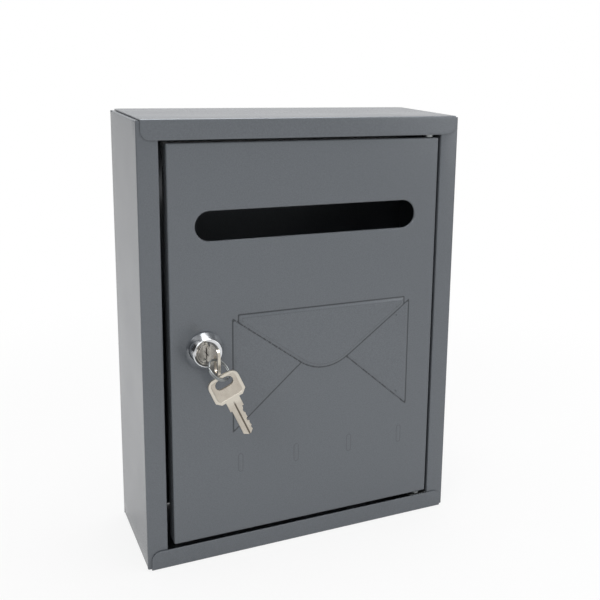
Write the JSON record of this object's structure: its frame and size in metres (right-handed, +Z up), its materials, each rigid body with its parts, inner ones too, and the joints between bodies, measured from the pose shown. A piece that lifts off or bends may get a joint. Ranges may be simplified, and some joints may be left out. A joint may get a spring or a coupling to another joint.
{
  "type": "wall mounted mailbox",
  "caption": "Folded steel wall mailbox with a letter slot, embossed front door on a side hinge, and a cam lock with keys on a split ring.",
  "frame": {"origin": "centre of the back face, which lies against the wall", "axes": "+Z up, -Y out of the front (the door faces -Y), +X to the right as seen from the front, towards the hinge"},
  "size_m": [0.225, 0.1266, 0.3],
  "materials": {
    "paint": "satin grey powder coat",
    "zinc": "zinc plated steel",
    "chrome": "polished chrome plate",
    "brass": "stamped brass",
    "nickel": "nickel plated, worn"
  },
  "bodies": {
    "cabinet": {"cabinet_wrap": "paint", "top_panel": "paint", "bottom_panel": "paint", "upper_hinge_bracket": "zinc", "lower_hinge_bracket": "zinc", "upper_hinge_pin": "zinc", "lower_hinge_pin": "zinc", "upper_pivot_spacer": "zinc", "lower_pivot_spacer": "zinc"},
    "door": {"door_panel": "paint", "lock_housing": "chrome", "lock_nut": "brass"},
    "plug": {"lock_plug": "chrome", "lock_wafer_1": "brass", "lock_wafer_2": "brass", "lock_wafer_3": "brass", "lock_wafer_4": "brass", "lock_wafer_5": "brass", "wafer_spring_1": "zinc", "wafer_spring_2": "zinc", "wafer_spring_3": "zinc", "wafer_spring_4": "zinc", "wafer_spring_5": "zinc", "lock_cam": "zinc", "cam_washer": "zinc", "cam_screw": "zinc"},
    "key": {"key_1": "nickel"},
    "ring": {"key_ring": "nickel"},
    "spare_key": {"key_2": "nickel"}
  },
  "joints": [
    {"name": "door_hinge", "type": "hinge", "parent": "cabinet", "child": "door", "pos_m": [0.0907, -0.0799, 0], "axis": [0, 0, 1], "range_deg": [0, 115]},
    {"name": "lock_turn", "type": "hinge", "parent": "door", "child": "plug", "pos_m": [-0.0722, -0.0914, 0], "axis": [0, 1, 0], "range_deg": [0, 90]},
    {"name": "key_slide", "type": "slide", "parent": "plug", "child": "key", "axis": [0, -1, 0], "range_m": [0, 0.024]},
    {"name": "ring_swing", "type": "hinge", "parent": "key", "child": "ring", "pos_m": [-0.0722, -0.1133, 0.0027], "axis": [-1, 0, 0], "range_deg": [-8, 60]},
    {"name": "spare_key_swing", "type": "hinge", "parent": "ring", "child": "spare_key", "pos_m": [-0.06976, -0.12355, -0.00672], "axis": [0, 1, 0], "range_deg": [-25, 15]}
  ]
}
